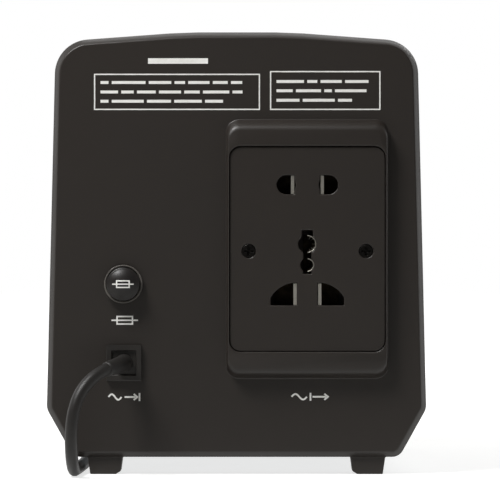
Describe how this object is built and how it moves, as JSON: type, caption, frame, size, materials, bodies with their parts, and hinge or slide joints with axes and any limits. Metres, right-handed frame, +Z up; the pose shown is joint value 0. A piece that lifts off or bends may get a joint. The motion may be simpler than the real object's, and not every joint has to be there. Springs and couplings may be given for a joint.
{
  "type": "voltage stabilizer",
  "caption": "Desk voltage stabilizer: steel sleeve between moulded end panels, with a pin socket, fuse and supply cord at the rear and a display and rocker switch at the front.",
  "frame": {"origin": "on the floor, midway between the ends and the sides of the body", "axes": "+Z up, -Y out of the rear panel with the socket, +Y out of the front fascia, +X to the right seen from the rear"},
  "size_m": [0.1559, 0.3419, 0.177],
  "materials": {
    "panel_plastic": "fine spark-eroded texture, charcoal",
    "plate_plastic": "fine texture, charcoal",
    "ivory_plastic": "moulded",
    "brass_leaf": "stamped",
    "black_screw": "black oxide",
    "bakelite": "semi-gloss moulded",
    "fuse_metal": "nickel plated",
    "fuse_glass": "clear",
    "bushing_plastic": "moulded",
    "pvc_cord": "soft matt PVC",
    "pin_brass": "bright",
    "painted_sheet": "textured powder coat",
    "zinc_sheet": "zinc plated",
    "zinc_screw": "zinc plated",
    "lamination": "varnished electrical steel",
    "bobbin_nylon": "natural",
    "magnet_wire": "enamelled copper under tape",
    "board": "solder mask",
    "relay_case": "moulded",
    "cap_sleeve": "shrink sleeve",
    "chip_resin": "moulded",
    "lens": "smoked, polished",
    "digit_resin": "grey face",
    "lamp_resin": "diffuse",
    "switch_plastic": "moulded",
    "rocker_plastic": "polished red",
    "button_plastic": "polished",
    "wire_pvc": "PVC insulated"
  },
  "bodies": {
    "case": {"rear_panel": "panel_plastic", "socket_plate": "plate_plastic", "socket_tray": "ivory_plastic", "contact_line": "brass_leaf", "contact_neutral": "brass_leaf", "contact_earth": "brass_leaf", "socket_screws": "black_screw", "fuse_holder": "bakelite", "fuse_nut": "bakelite", "fuse_contacts": "brass_leaf", "cord_bushing": "bushing_plastic", "strain_relief": "bushing_plastic", "supply_cord": "pvc_cord", "cord_coil": "pvc_cord", "plug_body": "pvc_cord", "plug_pins": "pin_brass", "inner_cord": "pvc_cord", "cover": "painted_sheet", "chassis": "zinc_sheet", "cover_screws": "zinc_screw", "panel_screws": "zinc_screw", "core": "lamination", "bobbin": "bobbin_nylon", "winding": "magnet_wire", "core_brackets": "zinc_sheet", "core_bolts": "zinc_screw", "deck_screws": "zinc_screw", "control_board": "board", "relays": "relay_case", "capacitors": "cap_sleeve", "control_chip": "chip_resin", "board_standoffs": "zinc_screw", "board_screws": "zinc_screw", "terminal_block": "ivory_plastic", "earth_stud": "zinc_screw", "front_fascia": "panel_plastic", "display_window": "lens", "display_board": "board", "digit_modules": "digit_resin", "indicator_lamps": "lamp_resin", "display_screws": "zinc_screw", "switch_housing": "switch_plastic", "switch_tabs": "brass_leaf", "delay_switch": "switch_plastic", "delay_nut": "bakelite", "lead_header": "ivory_plastic", "input_wires": "wire_pvc", "power_wires": "wire_pvc", "socket_wires": "wire_pvc", "winding_leads": "wire_pvc", "display_ribbon": "wire_pvc"},
    "switch_rocker": {"switch_rocker": "rocker_plastic"},
    "delay_button": {"delay_button": "button_plastic"},
    "fuse_carrier": {"fuse_cup": "fuse_metal", "fuse_glass": "fuse_glass", "fuse_ends": "fuse_metal", "fuse_wire": "fuse_metal"},
    "fuse_cap": {"fuse_cap": "bakelite"}
  },
  "joints": [
    {"name": "rocker_tilt", "type": "hinge", "parent": "case", "child": "switch_rocker", "pos_m": [-0.03, 0.09675, 0.06], "axis": [1, 0, 0], "range_deg": [0, 20]},
    {"name": "delay_press", "type": "slide", "parent": "case", "child": "delay_button", "axis": [0, -1, 0], "range_m": [0, 0.002]},
    {"name": "fuse_pull", "type": "slide", "parent": "case", "child": "fuse_carrier", "axis": [0, -1, 0], "range_m": [0, 0.032]},
    {"name": "fuse_cap_turn", "type": "hinge", "parent": "fuse_carrier", "child": "fuse_cap", "pos_m": [-0.0452, -0.10025, 0.0762], "axis": [0, -1, 0], "range_deg": [-90, 0]}
  ]
}
